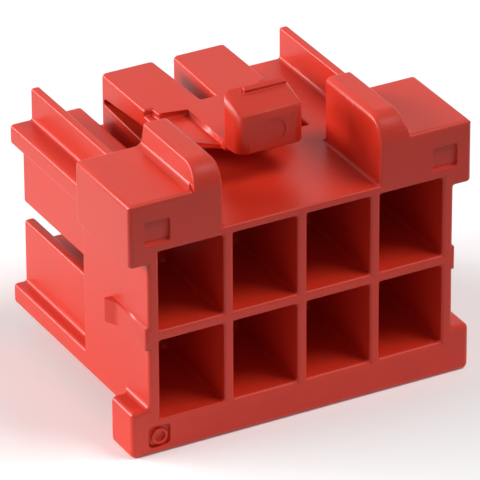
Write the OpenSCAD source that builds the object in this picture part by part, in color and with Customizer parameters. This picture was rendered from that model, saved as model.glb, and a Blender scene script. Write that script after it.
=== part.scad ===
// Two-row receptacle housing for crimped wire contacts, moulded in one piece.
// X runs along the contact rows, +Y points to the mating end and Z is up.
// The origin is under the middle of the part, level with the foot of the front bar.

/* [Contact grid] */
// Contact columns in each row
columns = 4; // [3:1:8]
// Distance between columns
col_pitch = 6.0; // [5.8:0.1:8]
// Distance between the two rows
row_pitch = 7.2; // [7.1:0.1:9]
// Width of a wire-entry cavity
cavity_w = 5.2; // [4.6:0.1:5.4]
// Height of a wire-entry cavity
cavity_h = 6.35; // [5.6:0.05:6.4]
// Depth of a wire-entry cavity
cavity_len = 9.0; // [7:0.1:9.6]
// Width of the narrow passage behind a cavity
passage_w = 3.3; // [2.6:0.1:3.8]
// Height of the narrow passage behind a cavity
passage_h = 2.25; // [1.6:0.05:3]

/* [Body] */
// Length of the wire-entry body
body_len = 10.3; // [10:0.1:13]
// Wall beside the outer cavities
side_wall = 0.9; // [0.7:0.05:1.4]
// Wall over the upper cavities
top_wall = 0.65; // [0.5:0.05:1.2]
// Wall under the lower cavities
floor_wall = 0.65; // [0.5:0.05:1.2]

/* [Front bar] */
// Distance that the front bar hangs below the body
bar_drop = 2.15; // [1:0.05:4]
// Length of the front bar
bar_len = 3.4; // [2:0.1:4]
// Distance that the bar's feet and the guards stand out past the body's sides
flange_w = 1.45; // [0.8:0.05:2.5]

/* [Nose] */
// Length of the mating nose behind the body
nose_len = 11.5; // [10:0.1:16]
// Distance that the nose's walls stand in from the body's sides
nose_inset = 1.0; // [0.6:0.05:1.2]
// Thickness of the nose's lower flange
ledge_t = 1.6; // [1:0.05:2]
// Thickness of the nose's upper flange
rail_t = 1.6; // [1:0.05:1.8]
// Depth of the latch bay below the body's top
bay_depth = 1.9; // [1.8:0.05:2]
// Distance that the latch bay reaches under each guard
bay_side = 0.2; // [0.1:0.05:0.6]
// Length of the body's top that reaches past the body over the latch bay
bay_lip = 0.8; // [0.4:0.1:1.5]
// Height of the slot between the nose's two banks
slot_h = 1.45; // [1:0.05:2]
// Thickness of the bridge between the body and the slot
slot_bridge = 1.0; // [0.6:0.1:2]
// Thickness of a key fin
fin_t = 0.7; // [0.6:0.02:1.2]
// Height of a key fin
fin_h = 2.55; // [1.5:0.05:3.2]
// Distance from the body's side to a key fin
fin_inset = 1.78; // [1:0.05:2.5]

/* [Latch guards] */
// Clear width between the two guards
guard_gap = 12.8; // [12:0.1:13.2]
// Length of a guard
guard_len = 8.3; // [6:0.1:9]
// Height of a guard's shoulder over the body's top
guard_h = 3.5; // [2.5:0.1:4.5]
// Distance that a guard reaches down the body's side
guard_reach = 1.5; // [0.8:0.1:3]
// Width of the ridge on a guard's inner side
ridge_w = 2.35; // [1.5:0.05:2.8]
// Height of the ridge over the guard's shoulder
ridge_h = 1.7; // [1:0.1:2]
// Radius at the ridge's wire-side end
ridge_round = 2.0; // [1:0.1:3]
// Radius along the ridge's inner edge
ridge_edge = 0.5; // [0.2:0.05:0.8]
// Radius where the ridge meets the shoulder
ridge_foot = 0.5; // [0.2:0.05:0.8]
// Distance that the ridge's outer face leans in
ridge_lean = 0.25; // [0:0.05:0.5]
// Radius on a guard's outer edges
guard_round = 0.35; // [0.2:0.05:0.6]

/* [Latch] */
// Width over the two latch legs
latch_w = 10.3; // [9.4:0.1:10.8]
// Height of the latch's top over the body's top
latch_h = 2.55; // [2.4:0.05:3]
// Distance from the mating end to the latch
latch_inset = 0.4; // [0.2:0.1:1]
// Gap between the two latch legs at the mating end
leg_gap = 1.6; // [1.3:0.1:2]
// Gap between the two latch legs at the closed end
leg_gap_near = 1.2; // [0.8:0.1:1.3]
// Length of the gap between the legs
leg_gap_len = 7.2; // [6:0.1:7.8]
// Length of the locking lugs on the legs
lug_len = 8.05; // [7.9:0.05:8.6]
// Height of the locking lugs over the arm
lug_h = 0.55; // [0.4:0.05:0.8]
// Width of the notch in a lug's outer corner
notch_w = 0.65; // [0.4:0.05:1]
// Length of the notch in a lug's outer corner
notch_len = 1.15; // [0.6:0.05:1.6]
// Thickness of the arm under the lugs
arm_t = 0.95; // [0.8:0.05:1.1]
// Thickness of the arm where it meets the press pad
neck_t = 0.35; // [0.3:0.05:0.6]
// Thickness of the web that carries a leg at the mating end
web_t = 0.55; // [0.4:0.05:1]
// Height of the slit under a leg beside the web
slit_h = 0.5; // [0.4:0.05:0.7]
// Height of the slit's middle over the body's top
slit_rise = 0.4; // [0.3:0.05:0.6]
// Length of the level part of the arm's underside over the lugs
slit_level = 2.0; // [1.4:0.1:3]
// Radius at the legs' mating-end corners
leg_round = 0.4; // [0.2:0.05:0.5]

/* [Press pad] */
// Width of the press pad
pad_w = 5.45; // [4:0.05:6]
// Length of the press pad
pad_len = 3.0; // [2.4:0.1:3.2]
// Height of the press pad's wire-side face
pad_h = 3.0; // [2.4:0.1:4]
// Rise of the press pad's top towards the mating end
pad_rise = 0.95; // [0.2:0.05:1.2]
// Distance from the wire-entry face to the press pad
pad_setback = 4.9; // [3:0.1:5.2]
// Distance that the press pad sits to the +X side of the latch's middle
pad_shift = 0.25; // [0:0.05:0.35]
// Distance that the press pad's underside lies below the latch's top
pad_lap = 0.15; // [0.1:0.05:0.4]
// Drop of the press pad's underside towards the mating end
pad_sink = 0.35; // [0.2:0.05:0.5]
// Radius over the press pad's wire-side edge
pad_round = 0.75; // [0.4:0.05:0.8]
// Radius along the sides of the press pad's top
pad_edge = 0.6; // [0.3:0.05:0.7]
// Radius at the press pad's upright corners
pad_corner = 0.9; // [0.85:0.05:1.1]
// Width of the raised lip along the top of the press pad
lip_w = 3.4; // [2:0.1:3.6]
// Distance that the lip sits to the +X side of the press pad's middle
lip_shift = 0.6; // [0:0.05:0.7]
// Length of that lip
lip_len = 0.5; // [0.2:0.05:0.8]
// Height of that lip
lip_h = 0.28; // [0.1:0.02:0.4]
// Distance from the press pad's mating-side end to that lip
lip_inset = 0.3; // [0.2:0.05:0.6]
// Radius of the shallow round mark on the press pad
dimple_r = 1.05; // [0.4:0.05:1.2]
// Width of the neck between the pad and the legs
neck_w = 4.6; // [3.6:0.1:4.8]
// Length of the neck that lies under the press pad
neck_lap = 0.5; // [0.3:0.1:1]

/* [Side catches] */
// Height of a side rail
catch_h = 1.85; // [1:0.05:3]
// Distance from the middle between the rows down to a side rail's middle
catch_fall = 0.1; // [0:0.05:0.4]
// Distance that a side rail stands out
catch_rail = 0.22; // [0.1:0.02:0.4]
// Distance that the catch at the end of a rail stands out
catch_out = 0.78; // [0.45:0.01:0.9]
// Length of a side rail
catch_rail_len = 4.5; // [3:0.1:5]
// Length of the sloping catch
catch_len = 1.2; // [0.8:0.1:2]

/* [Mould marks] */
// Width of the insert marks on the guards
mark_w = 2.05; // [1:0.05:2.4]
// Height of the insert marks on the guards
mark_h = 1.85; // [1:0.05:2.4]
// Side of the insert mark on the front bar
bar_mark = 1.75; // [1:0.05:2]
// Depth of the insert marks
mark_d = 0.3; // [0.1:0.02:0.4]
// Depth of the round mark on the press pad
dimple_d = 0.06; // [0.04:0.02:0.3]
// Distance from the body's side to the middle of the insert marks
mark_inset = 0.78; // [0.6:0.02:1.2]
// Distance from a guard's shoulder down to the middle of its mark
mark_fall = 2.48; // [1.6:0.02:3]
// Height of the front bar's mark over the bar's foot
bar_mark_z = 1.42; // [1.2:0.02:2]
// Radius of the ring in the front bar's mark
ring_r = 0.6; // [0.3:0.05:0.8]
// Width of that ring
ring_w = 0.14; // [0.08:0.02:0.2]

/* [Hidden] */
$fn = 64;
// Overlap of pieces that lie flush
eps = 0.01;
// Distance that pieces reach into each other
embed = 0.5;
// Distance that cutters reach past the faces that they open
past = 1;

// Levels
body_z0 = bar_drop;
mid_z = body_z0 + floor_wall + (cavity_h + row_pitch) / 2;
top_z = mid_z + (row_pitch + cavity_h) / 2 + top_wall;
bay_z = top_z - bay_depth;
shoulder_z = top_z + guard_h;
ridge_z = shoulder_z + ridge_h;
latch_z = top_z + latch_h;
arm_z = latch_z - lug_h;
arm_under = arm_z - arm_t;
neck_under = arm_z - neck_t;
pad_under = latch_z - pad_lap;
pad_top = pad_under + pad_h;

// Half widths
body_x = (columns - 1) * col_pitch / 2 + cavity_w / 2 + side_wall;
flange_x = body_x + flange_w;
nose_x = body_x - nose_inset;
guard_x = guard_gap / 2;
ridge_x = guard_x + ridge_w;
bay_x = guard_x + bay_side;
leg_x = latch_w / 2;
pad_x = pad_w / 2;
heel_x = pad_x - pad_corner;
neck_x = neck_w / 2;
fin_x = body_x - fin_inset;

// Distances from the wire-entry face
total_len = body_len + nose_len;
latch_end = total_len - latch_inset;
lug_near = latch_end - lug_len;
pad_far = pad_setback + pad_len;
neck_near = pad_far - neck_lap;

// Profile drawn in X and Z, carried from y0 to y1
module along_y(y0, y1) {
  translate([0, y1, 0])
    rotate([90, 0, 0])
      linear_extrude(y1 - y0)
        children();
}

// Profile drawn in Y and Z, carried from x0 to x1
module along_x(x0, x1) {
  translate([x0, 0, 0])
    rotate([90, 0, 90])
      linear_extrude(x1 - x0)
        children();
}

// The child and its mirror image on the other side of the part
module both_sides() {
  children();
  mirror([1, 0, 0]) children();
}

// Rectangle from one corner to the other
module rect(p, q) {
  translate(p) square(q - p);
}

// Rectangle around a middle
module rect_at(c, w, h) {
  translate(c) square([w, h], center = true);
}

// What a radius takes off a square corner at the origin, where the piece lies in +X and +Y
module corner(r) {
  difference() {
    translate([-eps, -eps]) square(r + eps);
    translate([r, r]) circle(r);
  }
}

// Body with the lip over its latch bay, and the front bar
module body() {
  along_y(0, body_len) rect([-body_x, body_z0], [body_x, top_z]);
  along_y(body_len - embed, body_len + bay_lip)
    rect([-guard_x - embed, bay_z - embed], [guard_x + embed, top_z]);
  along_y(0, bar_len) rect([-flange_x, 0], [flange_x, body_z0 + ledge_t]);
}

// Shoulder of the guard on the +X side, rounded along its outer edges
module shoulder() {
  foot_z = top_z - guard_reach;
  intersection() {
    along_y(0, guard_len)
      difference() {
        rect([guard_x, foot_z], [flange_x, shoulder_z]);
        translate([flange_x, shoulder_z]) rotate(180) corner(guard_round);
      }
    along_x(guard_x - past, flange_x + past)
      difference() {
        rect([0, foot_z], [guard_len, shoulder_z]);
        translate([0, shoulder_z]) rotate(-90) corner(guard_round);
      }
    linear_extrude(shoulder_z + past)
      difference() {
        rect([guard_x - past, 0], [flange_x, guard_len]);
        translate([flange_x, 0]) rotate(90) corner(guard_round);
      }
  }
}

// Ridge that keeps wires off the press pad, with a long radius at its wire-side end
module ridge() {
  along_y(guard_round, guard_len)
    translate([ridge_x - ridge_lean / 2, shoulder_z]) corner(ridge_foot + ridge_lean / 2);
  intersection() {
    along_y(0, guard_len)
      difference() {
        polygon([
          [guard_x, top_z - eps], [ridge_x, top_z - eps], [ridge_x, shoulder_z],
          [ridge_x - ridge_lean, ridge_z], [guard_x, ridge_z]
        ]);
        translate([guard_x, ridge_z]) rotate(-90) corner(ridge_edge);
      }
    along_x(guard_x - past, flange_x)
      difference() {
        rect([0, top_z - past], [guard_len, ridge_z]);
        translate([0, ridge_z]) rotate(-90) corner(ridge_round);
      }
  }
}

// Nose that enters the mating connector: two flanges, thin recessed walls and the key fins
module nose() {
  along_y(body_len - past, total_len) {
    rect([-nose_x, body_z0], [nose_x, bay_z]);
    rect([-body_x, body_z0], [body_x, body_z0 + ledge_t]);
    both_sides() {
      rect([bay_x, bay_z - embed], [nose_x, top_z]);
      rect([bay_x, top_z - rail_t], [body_x, top_z]);
    }
  }
  both_sides()
    along_y(guard_len - past, total_len)
      rect([fin_x - fin_t, top_z - past], [fin_x, top_z + fin_h]);
}

// Side view of the latch: a pedestal, the web at the mating end and the arm that it carries
module latch_side() {
  slit_r = slit_h / 2;
  slit_far = latch_end - web_t - slit_r;
  slit_z = top_z + slit_rise;
  slit_bend = lug_near + slit_level;
  difference() {
    polygon([
      [body_len - past, bay_z - embed], [latch_end, bay_z - embed],
      [latch_end, latch_z], [lug_near, latch_z], [lug_near, arm_z],
      [neck_near, arm_z], [neck_near, neck_under], [pad_far, neck_under],
      [lug_near, arm_under], [slit_bend, arm_under],
      [slit_far, slit_z + slit_r], [slit_far, slit_z - slit_r], [body_len - past, top_z - embed]
    ]);
    translate([slit_far, slit_z]) circle(slit_r);
  }
}

// Plan view of the latch: full width over the legs, tapering to the neck
module latch_plan() {
  gap_end = latch_end - leg_gap_len;
  gap_bend = latch_end - leg_round;
  difference() {
    polygon([
      [-leg_x, latch_end], [-leg_x, body_len], [-neck_x, pad_far],
      [neck_x, pad_far], [leg_x, body_len], [leg_x, latch_end]
    ]);
    polygon([
      [-leg_gap / 2, gap_bend], [-leg_gap_near / 2, gap_end],
      [leg_gap_near / 2, gap_end], [leg_gap / 2, gap_bend],
      [leg_gap / 2, latch_end + past], [-leg_gap / 2, latch_end + past]
    ]);
    for (side = [-1, 1]) {
      translate([side * leg_x, latch_end]) rotate(side > 0 ? 180 : -90) corner(leg_round);
      translate([side * leg_gap / 2, latch_end]) rotate(side > 0 ? -90 : 180) corner(leg_round);
    }
  }
}

// Press pad in three views, each with its own rounded corners, and the lip along its top
module pad() {
  slope = atan(pad_rise / pad_len);
  lip_far = pad_len / cos(slope) - lip_inset;
  edge_z = pad_top + pad_round * (tan(slope) - 1 / cos(slope));
  top_start = [pad_setback + pad_round * (1 - sin(slope)), edge_z + pad_round * cos(slope)];
  intersection() {
    along_x(-pad_x, pad_x) {
      polygon([
        [pad_setback, pad_under], [pad_setback, edge_z], top_start,
        [pad_far, pad_top + pad_rise], [pad_far, pad_under - pad_sink]
      ]);
      translate([pad_setback + pad_round, edge_z]) circle(pad_round);
    }
    translate([0, pad_setback, pad_top - eps])
      rotate([slope, 0, 0])
        along_y(-2 * pad_len, 2 * pad_len)
          difference() {
            rect([-pad_x, -3 * pad_h], [pad_x, 0]);
            translate([-pad_x, 0]) rotate(-90) corner(pad_edge);
            translate([pad_x, 0]) rotate(180) corner(pad_edge);
          }
    linear_extrude(pad_top + pad_rise + past)
      difference() {
        rect([-pad_x, pad_setback], [pad_x, pad_far]);
        translate([-pad_x, pad_setback]) corner(pad_corner);
        translate([pad_x, pad_setback]) rotate(90) corner(pad_corner);
        translate([pad_x, pad_far]) rotate(180) corner(pad_corner);
        translate([-pad_x, pad_far]) rotate(-90) corner(pad_corner);
      }
  }
  translate([0, pad_setback, pad_top])
    rotate([slope, 0, 0])
      along_y(lip_far - lip_len, lip_far) rect_at([lip_shift, 0], lip_w, 2 * lip_h);
}

// Sprung latch with its pedestal, legs, neck and press pad
module latch() {
  difference() {
    intersection() {
      along_x(-leg_x, leg_x) latch_side();
      linear_extrude(latch_z + past) latch_plan();
    }
    both_sides()
      translate([leg_x - notch_w, lug_near - past, arm_z])
        cube([notch_w + past, past + notch_len, lug_h + past]);
  }
  along_y(neck_near, lug_near + embed) rect([-neck_x, neck_under], [neck_x, latch_z]);
  translate([pad_shift, 0, 0]) {
    along_x(-heel_x, heel_x) translate([pad_far, latch_z]) corner(pad_round);
    difference() {
      pad();
      translate([0, 0, pad_under + pad_h / 2 - pad_round / 8])
        along_y(pad_setback - past, pad_setback + dimple_d) circle(dimple_r);
    }
  }
}

// Rail and sloping catch on the +X side of the body
module side_catch() {
  catch_end = catch_rail_len + catch_len;
  translate([0, 0, mid_z - catch_fall - catch_h / 2])
    linear_extrude(catch_h)
      polygon([
        [body_x - embed, 0], [body_x + catch_rail, 0], [body_x + catch_rail, catch_rail_len],
        [body_x + catch_out, catch_end], [body_x - embed, catch_end]
      ]);
}

// Wire-entry cavities and the narrow passages behind them, which lie against the wall between the rows
module contact_ways() {
  for (i = [0 : columns - 1], side = [-1, 1]) {
    x = (i - (columns - 1) / 2) * col_pitch;
    z = mid_z + side * row_pitch / 2;
    inner_z = z - side * cavity_h / 2;
    along_y(-past, cavity_len) rect_at([x, z], cavity_w, cavity_h);
    along_y(cavity_len - past, total_len + past)
      rect_at([x, inner_z + side * passage_h / 2], passage_w, passage_h);
  }
}

// Slot between the nose's two banks, open at its sides and at the mating end
module bank_slot() {
  along_y(body_len + slot_bridge, total_len + past)
    rect([-body_x - past, mid_z - slot_h / 2], [body_x + past, mid_z + slot_h / 2]);
}

// Shallow marks that the mould's inserts leave on the wire-entry face
module insert_marks() {
  mark_x = body_x - mark_inset;
  for (side = [-1, 1])
    along_y(-past, mark_d) rect_at([side * mark_x, shoulder_z - mark_fall], mark_w, mark_h);
  along_y(-past, mark_d)
    difference() {
      rect_at([-mark_x, bar_mark_z], bar_mark, bar_mark);
      translate([-mark_x, bar_mark_z])
        difference() {
          circle(ring_r);
          circle(ring_r - ring_w);
        }
    }
}

module housing() {
  color([0.8, 0.22, 0.18])
    translate([0, -total_len / 2, 0])
      difference() {
        union() {
          body();
          both_sides() {
            shoulder();
            ridge();
            side_catch();
          }
          nose();
          latch();
        }
        contact_ways();
        bank_slot();
        insert_marks();
      }
}

housing();
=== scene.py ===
import itertools
import math

import bmesh
import bpy
import numpy as np
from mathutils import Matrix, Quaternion, Vector


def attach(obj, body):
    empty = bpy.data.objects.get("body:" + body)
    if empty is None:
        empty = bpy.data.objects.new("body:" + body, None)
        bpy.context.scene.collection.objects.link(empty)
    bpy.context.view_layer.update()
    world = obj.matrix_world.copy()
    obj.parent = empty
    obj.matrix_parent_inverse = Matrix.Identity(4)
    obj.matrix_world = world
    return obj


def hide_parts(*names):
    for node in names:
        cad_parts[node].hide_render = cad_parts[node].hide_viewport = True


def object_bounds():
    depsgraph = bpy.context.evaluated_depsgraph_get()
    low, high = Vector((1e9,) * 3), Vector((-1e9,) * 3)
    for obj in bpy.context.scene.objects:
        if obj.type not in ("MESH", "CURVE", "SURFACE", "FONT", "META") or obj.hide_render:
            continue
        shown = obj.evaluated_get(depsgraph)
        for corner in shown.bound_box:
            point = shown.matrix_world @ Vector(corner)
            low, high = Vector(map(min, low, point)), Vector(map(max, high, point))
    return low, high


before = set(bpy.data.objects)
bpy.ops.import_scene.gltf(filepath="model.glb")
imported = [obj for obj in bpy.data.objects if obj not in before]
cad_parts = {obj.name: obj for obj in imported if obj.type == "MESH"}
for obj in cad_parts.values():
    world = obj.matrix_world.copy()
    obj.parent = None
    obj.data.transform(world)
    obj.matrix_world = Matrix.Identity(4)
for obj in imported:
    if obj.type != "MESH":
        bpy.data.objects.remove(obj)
cadLow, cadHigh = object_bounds()
scene = bpy.context.scene
scene.view_settings.view_transform = "Standard"
print("frame loaded,", len(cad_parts), "node")

# camera, in metres and degrees
cameraLook = {
    "place": (-0.18003, -0.33477, 0.21401),
    "azimuth": -28.373,
    "elevation": 28.317,
    "roll": -0.300,
    "lens": 441.67,           # mm, for the sensor below
    "sensor": 36.0,           # mm
    "clip": (0.05, 10.0),
}


def makeCamera(look):
    # the camera looks back along the way that azimuth, from -Y, and elevation give, then rolls about it
    around, above = math.radians(look["azimuth"]), math.radians(look["elevation"])
    back = Vector((
        math.sin(around) * math.cos(above),
        -math.cos(around) * math.cos(above),
        math.sin(above),
    ))
    data = bpy.data.cameras.new("camera")
    data.sensor_width = look["sensor"]
    data.lens = look["lens"]
    data.clip_start, data.clip_end = look["clip"]
    camera = bpy.data.objects.new("camera", data)
    scene.collection.objects.link(camera)
    camera.location = look["place"]
    camera.rotation_mode = "QUATERNION"
    turn = Quaternion((0.0, 0.0, 1.0), math.radians(look["roll"]))
    camera.rotation_quaternion = (-back).to_track_quat("-Z", "Y") @ turn
    scene.camera = camera


makeCamera(cameraLook)
print("camera placed")


def spotPair(middle, out, y, z, reach):
    # two spots, each a place and a radius, equally far to the left and right of a middle
    return ((middle - out, y, z, reach), (middle + out, y, z, reach))


padMiddle = 0.00025           # the press pad stands a little to the right

# the moulding: its CAD form, with the small radii that every edge of the mould leaves, in metres and degrees
mouldingEdges = {
    "weld": 2e-7,             # closes the loose triangles
    "flat": 0.3,              # faces that meet flatter than this are one face
    "sharp": 24.0,            # edges sharper than this are rounded
    "radius": 0.0004,
    "steps": 3,
    # box of the front bar, which has the full radius
    "bar": ((-0.0141, -0.011, -0.0001), (0.0141, -0.0074, 0.0038)),
    "others": 0.7,            # share of the radius on the other edges
    # round ends of the slits under the legs, beside thin webs, and the share there
    "slitEnds": (
        spotPair(0.0, 0.00515, 0.00985, 0.0174, 0.0003)
        + spotPair(0.0, 0.0008, 0.00985, 0.0174, 0.0003)
    ),
    "slitShare": 0.3,
    "narrow": 0.3,            # most of a narrow face that a radius may take
    "least": 0.2,             # share of the radius below which an edge stays sharp
    "tries": (0.02, 0.25, 0.5, 0.75, 0.98),    # where along an edge the faces beside it are measured
    "touching": 1e-7,         # nearer than this is the edge itself
    "rise": 0.35,             # how steeply the surface may curve and still count as running on
    "runOn": 150.0,           # angle between two edges above which they are one bent edge
    "even": 1e-4,             # difference of share that may stay along such an edge
    # spots where CAD fillets already meet: the guards' corners, the ridges' feet and the pad's heel
    "left": (
        spotPair(0.0, 0.01385, -0.0108, 0.0204, 0.00036)
        + spotPair(0.0, 0.00875, -0.01055, 0.0205, 0.00056)
        + spotPair(padMiddle, 0.001825, -0.003, 0.01955, 0.0009)
    ),
    # spots where three fillets of the press pad meet, which the shading alone blends
    "blended": spotPair(padMiddle, 0.00237, -0.00574, 0.02227, 0.0005),
    # front end of the fillet along each ridge's foot
    "footEnd": {
        "front": -0.01055,
        "shoulder": 0.0205,
        "height": 0.0006,
        "inner": 0.0086,
        "slope": 1.6,
        "close": 1e-6,
    },
}


def room(edge, face, outline, look):
    # how far the surface runs on from the edge, square to it, before the next sharp edge
    loop = next(corner for corner in edge.link_loops if corner.face == face)
    start, end = np.array(loop.vert.co), np.array(loop.link_loop_next.vert.co)
    along = (end - start) / np.linalg.norm(end - start)
    outward = np.array(face.normal)
    inward = np.cross(outward, along)
    nearest = 1.0             # farther than anything on the part
    for share in look["tries"]:
        fromHere = outline - (start + share * (end - start))
        before, after = (fromHere @ along).T
        crossing = before * after < 0.0
        part = (before / np.where(crossing, before - after, 1.0))[:, None]
        meeting = fromHere[:, 0] * (1.0 - part) + fromHere[:, 1] * part
        gap, lift = meeting @ inward, np.abs(meeting @ outward)
        runsOn = crossing & (gap > look["touching"]) & (lift < look["rise"] * gap)
        nearest = np.min(gap[runsOn], initial=nearest)
    return nearest


def near(edge, spots):
    # whether an end of the edge is nearer to a spot than its radius
    return any((end.co - Vector(spot[:3])).length < spot[3] for end in edge.verts for spot in spots)


def inBox(edge, box):
    # whether both ends lie between the box's lowest and highest corners
    return all(low < at < high for end in edge.verts for low, at, high in zip(box[0], end.co, box[1]))


def radiusShare(edge, outline, look):
    # the share of the radius for the edge's place, or less where a face beside it is narrow
    most = 1.0 if inBox(edge, look["bar"]) else look["others"]
    if near(edge, look["slitEnds"]):
        most = look["slitShare"]
    space = min(room(edge, face, outline, look) for face in edge.link_faces)
    return min(most, look["narrow"] * space / look["radius"])


def shareAlong(bm, weight, look):
    # rounded edges that run on into each other take the smallest share among them
    pairs = []
    for vert in bm.verts:
        rounded = [edge for edge in vert.link_edges if edge[weight] > 0.0]
        for one, two in itertools.combinations(rounded, 2):
            there, back = one.other_vert(vert).co - vert.co, two.other_vert(vert).co - vert.co
            if there.angle(back) > math.radians(look["runOn"]):
                pairs.append((one, two))
    while any(abs(one[weight] - two[weight]) > look["even"] for one, two in pairs):
        for one, two in pairs:
            one[weight] = two[weight] = min(one[weight], two[weight])


def slopeFeet(bm, look):
    # points on the fillet's front end go back by the slope times their height over the guard's shoulder
    for vert in bm.verts:
        height = vert.co.z - look["shoulder"]
        onEnd = abs(vert.co.y - look["front"]) < look["close"] and abs(vert.co.x) > look["inner"]
        if onEnd and look["close"] < height < look["height"]:
            vert.co.y += look["slope"] * height


def softenedCopy(cadNode, name, look):
    # the CAD triangles merged into whole faces, with a bevel whose width on each sharp edge is its share
    bm = bmesh.new()
    bm.from_mesh(cadNode.data)
    bmesh.ops.remove_doubles(bm, verts=bm.verts, dist=look["weld"])
    bmesh.ops.dissolve_limit(bm, angle_limit=math.radians(look["flat"]), verts=bm.verts, edges=bm.edges)
    weight = bm.edges.layers.float.new("bevel_weight_edge")
    sharp = [edge for edge in bm.edges if edge.calc_face_angle(0.0) >= math.radians(look["sharp"])]
    outline = np.array([[end.co for end in edge.verts] for edge in sharp])
    for edge in sharp:
        share = radiusShare(edge, outline, look)
        blended = near(edge, look["blended"])
        rounded = bool(share >= look["least"]) and not blended and not near(edge, look["left"])
        edge.smooth = rounded or blended
        edge[weight] = share if rounded else 0.0
    shareAlong(bm, weight, look)
    slopeFeet(bm, look["footEnd"])
    for face in bm.faces:
        face.smooth = True
    mesh = bpy.data.meshes.new(name)
    bm.to_mesh(mesh)
    bm.free()
    piece = bpy.data.objects.new(name, mesh)
    scene.collection.objects.link(piece)
    bevel = piece.modifiers.new("mouldRadius", "BEVEL")
    bevel.limit_method = "WEIGHT"
    bevel.width = look["radius"]
    bevel.segments = look["steps"]
    bevel.use_clamp_overlap = False
    bevel.loop_slide = False
    normals = piece.modifiers.new("evenShading", "WEIGHTED_NORMAL")
    normals.keep_sharp = True
    return piece


moulding = softenedCopy(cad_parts["housing"], "moulding", mouldingEdges)
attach(moulding, "root")
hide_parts("housing")
print("moulding softened:", len(moulding.data.polygons), "faces before rounding")

# the plastic: dyed through, a fine spark-eroded mould surface, faint flow marks
redPlastic = {
    "deep": (0.60, 0.029, 0.012, 1.0),
    "pale": (0.69, 0.038, 0.017, 1.0),
    "flowSize": 220.0,        # flow marks, to the metre
    "flowDetail": 4.0,
    "flowCurl": 0.6,
    "grainSize": 5200.0,      # grains, to the metre
    "grainDetail": 3.0,
    "grainHeight": 0.000002,
    "roughLow": 0.30,
    "roughHigh": 0.38,
    "refraction": 1.5,
    "gloss": 0.4,
    "glow": 0.12,             # light that spreads under the surface
    "glowDepth": 0.0005,
    "glowColours": (1.0, 0.25, 0.12),    # how much farther red spreads than green and blue
}


def addNode(tree, kind, place, **values):
    # a new node at a place in the node editor, with its own settings
    made = tree.nodes.new(kind)
    made.location = place
    for key, value in values.items():
        setattr(made, key, value)
    return made


def makeRedPlastic(look):
    # slow noise mixes the two dyes and the two roughnesses, fine noise is the height of the bump
    material = bpy.data.materials.new("redPlastic")
    material.use_nodes = True
    tree = material.node_tree
    tree.nodes.clear()
    link = tree.links.new
    out = addNode(tree, "ShaderNodeOutputMaterial", (900, 0))
    shader = addNode(tree, "ShaderNodeBsdfPrincipled", (600, 0))
    link(shader.outputs["BSDF"], out.inputs["Surface"])
    place = addNode(tree, "ShaderNodeTexCoord", (-800, 0))

    flow = addNode(tree, "ShaderNodeTexNoise", (-500, 200))
    flow.inputs["Scale"].default_value = look["flowSize"]
    flow.inputs["Detail"].default_value = look["flowDetail"]
    flow.inputs["Distortion"].default_value = look["flowCurl"]
    link(place.outputs["Object"], flow.inputs["Vector"])
    dye = addNode(tree, "ShaderNodeMix", (-200, 250), data_type="RGBA")
    dye.inputs[6].default_value = look["deep"]    # the colour sockets A and B
    dye.inputs[7].default_value = look["pale"]
    link(flow.outputs["Fac"], dye.inputs[0])
    link(dye.outputs[2], shader.inputs["Base Color"])
    rough = addNode(tree, "ShaderNodeMapRange", (-200, -100))
    rough.inputs["To Min"].default_value = look["roughLow"]
    rough.inputs["To Max"].default_value = look["roughHigh"]
    link(flow.outputs["Fac"], rough.inputs["Value"])
    link(rough.outputs["Result"], shader.inputs["Roughness"])

    grain = addNode(tree, "ShaderNodeTexNoise", (-500, -250))
    grain.inputs["Scale"].default_value = look["grainSize"]
    grain.inputs["Detail"].default_value = look["grainDetail"]
    link(place.outputs["Object"], grain.inputs["Vector"])
    bump = addNode(tree, "ShaderNodeBump", (200, -250))
    bump.inputs["Distance"].default_value = look["grainHeight"]
    bump.inputs["Strength"].default_value = 1.0
    link(grain.outputs["Fac"], bump.inputs["Height"])
    link(bump.outputs["Normal"], shader.inputs["Normal"])

    shader.inputs["IOR"].default_value = look["refraction"]
    shader.inputs["Specular IOR Level"].default_value = look["gloss"]
    shader.inputs["Subsurface Weight"].default_value = look["glow"]
    shader.inputs["Subsurface Radius"].default_value = look["glowColours"]
    shader.inputs["Subsurface Scale"].default_value = look["glowDepth"]
    return material


moulding.data.materials.append(makeRedPlastic(redPlastic))
print("plastic made")

# a round light over the front right, in two lamps, because only part of it shows in the plastic's gloss
overhead = {"way": (0.40, -0.31, 0.86), "size": (0.30, 0.30), "shape": "ELLIPSE"}

# studio: a table whose paint is pale around the part and dark away from it, a painted pool of light that the
# camera sees evenly white; two low lamps on the left and behind it, the round light and an even sky
studio = {
    "floorHalf": 3.0,
    "paintedPoolNear": 0.98,        # painted pool of light: how much light the table throws back beside the part
    "paintedPoolFar": 0.05,         # and away from it
    "paintedPoolReach": (0.022, 0.055),    # where the one gives way to the other
    "floorSeen": 1.04,        # what the unshadowed table looks like
    "sky": 0.3,               # how much light comes from all round
    "skySeen": 1.0,           # what the background looks like
    "lampDistance": 0.6,
    "lamps": {
        "sideLamp": {
            "way": (-0.860, 0.347, 0.375),
            "size": (0.36, 0.26),
            "shape": "RECTANGLE",
            "power": 2.5,
            "shine": True,
        },
        "rearLamp": {
            "way": (-0.683, 0.683, 0.259),
            "size": (0.20, 0.12),
            "shape": "RECTANGLE",
            "power": 1.8,
            "shine": True,
        },
        "topLamp": {**overhead, "power": 1.3, "shine": False},
        "edgeLamp": {**overhead, "power": 0.7, "shine": True},
    },
}


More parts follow.
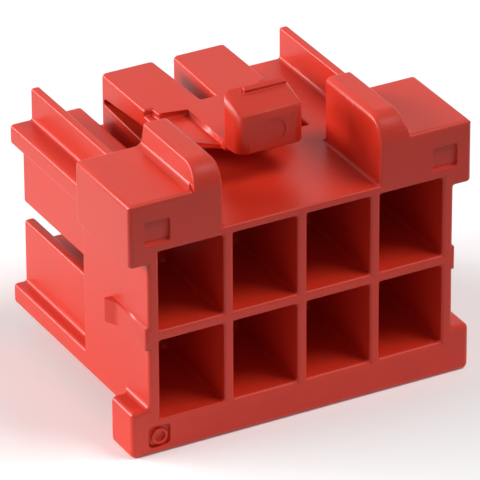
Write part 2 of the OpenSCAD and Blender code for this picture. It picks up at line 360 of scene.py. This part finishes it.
def seenDirectly(tree, place):
    # 1 for rays from the camera, from gloss and through glass, 0 for rays that only carry light
    path = addNode(tree, "ShaderNodeLightPath", place)
    first = addNode(tree, "ShaderNodeMath", (place[0] + 200, place[1]), operation="MAXIMUM")
    second = addNode(tree, "ShaderNodeMath", (place[0] + 400, place[1]), operation="MAXIMUM")
    tree.links.new(path.outputs["Is Camera Ray"], first.inputs[0])
    tree.links.new(path.outputs["Is Glossy Ray"], first.inputs[1])
    tree.links.new(first.outputs[0], second.inputs[0])
    tree.links.new(path.outputs["Is Transmission Ray"], second.inputs[1])
    return second.outputs[0]


def makeTablePaintedPool(look):
    # paint that darkens with the distance from the part, a painted pool of light around it, and a glow that
    # makes up the rest where it is seen
    material = bpy.data.materials.new("tableWithPaintedLightPool")
    material.use_nodes = True
    tree = material.node_tree
    tree.nodes.clear()
    link = tree.links.new
    place = addNode(tree, "ShaderNodeTexCoord", (-900, 200))
    away = addNode(tree, "ShaderNodeVectorMath", (-700, 200), operation="LENGTH")
    link(place.outputs["Object"], away.inputs[0])
    shade = addNode(tree, "ShaderNodeMapRange", (-500, 200), interpolation_type="SMOOTHSTEP")
    shade.inputs["From Min"].default_value, shade.inputs["From Max"].default_value = look["paintedPoolReach"]
    shade.inputs["To Min"].default_value = look["paintedPoolNear"]
    shade.inputs["To Max"].default_value = look["paintedPoolFar"]
    link(away.outputs["Value"], shade.inputs["Value"])
    paint = addNode(tree, "ShaderNodeBsdfDiffuse", (250, 100))
    link(shade.outputs["Result"], paint.inputs["Color"])

    rest = addNode(tree, "ShaderNodeMath", (-250, 0), operation="SUBTRACT")
    rest.inputs[0].default_value = look["floorSeen"]
    link(shade.outputs["Result"], rest.inputs[1])
    strength = addNode(tree, "ShaderNodeMath", (0, -100), operation="MULTIPLY")
    link(rest.outputs[0], strength.inputs[0])
    link(seenDirectly(tree, (-700, -200)), strength.inputs[1])
    glow = addNode(tree, "ShaderNodeEmission", (250, -100))
    link(strength.outputs[0], glow.inputs["Strength"])

    both = addNode(tree, "ShaderNodeAddShader", (500, 0))
    link(paint.outputs[0], both.inputs[0])
    link(glow.outputs[0], both.inputs[1])
    out = addNode(tree, "ShaderNodeOutputMaterial", (700, 0))
    link(both.outputs[0], out.inputs["Surface"])
    return material


def makeFloor(look):
    # one square about the origin, at the part's foot
    half = look["floorHalf"]
    corners = [(-half, -half, 0), (half, -half, 0), (half, half, 0), (-half, half, 0)]
    mesh = bpy.data.meshes.new("floor")
    mesh.from_pydata(corners, [], [(0, 1, 2, 3)])
    mesh.materials.append(makeTablePaintedPool(look))
    floor = bpy.data.objects.new("floor", mesh)
    scene.collection.objects.link(floor)


def makeSky(look):
    # one level for the light that it gives, another where it is seen
    world = bpy.data.worlds.new("sky")
    scene.world = world
    world.use_nodes = True
    tree = world.node_tree
    tree.nodes.clear()
    link = tree.links.new
    level = addNode(tree, "ShaderNodeMapRange", (250, -100))
    level.inputs["To Min"].default_value = look["sky"]
    level.inputs["To Max"].default_value = look["skySeen"]
    link(seenDirectly(tree, (-450, -200)), level.inputs["Value"])
    sky = addNode(tree, "ShaderNodeBackground", (500, 0))
    link(level.outputs["Result"], sky.inputs["Strength"])
    out = addNode(tree, "ShaderNodeOutputWorld", (700, 0))
    link(sky.outputs[0], out.inputs["Surface"])


def makeLamp(name, look, distance):
    # an area lamp at a distance along its way from the part's middle, facing the part
    data = bpy.data.lights.new(name, "AREA")
    data.shape = look["shape"]
    data.size, data.size_y = look["size"]
    data.energy = look["power"]
    lamp = bpy.data.objects.new(name, data)
    scene.collection.objects.link(lamp)
    way = Vector(look["way"]).normalized()
    lamp.location = (cadLow + cadHigh) / 2 + way * distance
    lamp.rotation_mode = "QUATERNION"
    lamp.rotation_quaternion = (-way).to_track_quat("-Z", "Y")
    lamp.visible_glossy = look["shine"]


makeFloor(studio)
makeSky(studio)
for lampName, lampLook in studio["lamps"].items():
    makeLamp(lampName, lampLook, studio["lampDistance"])
print("studio lit")
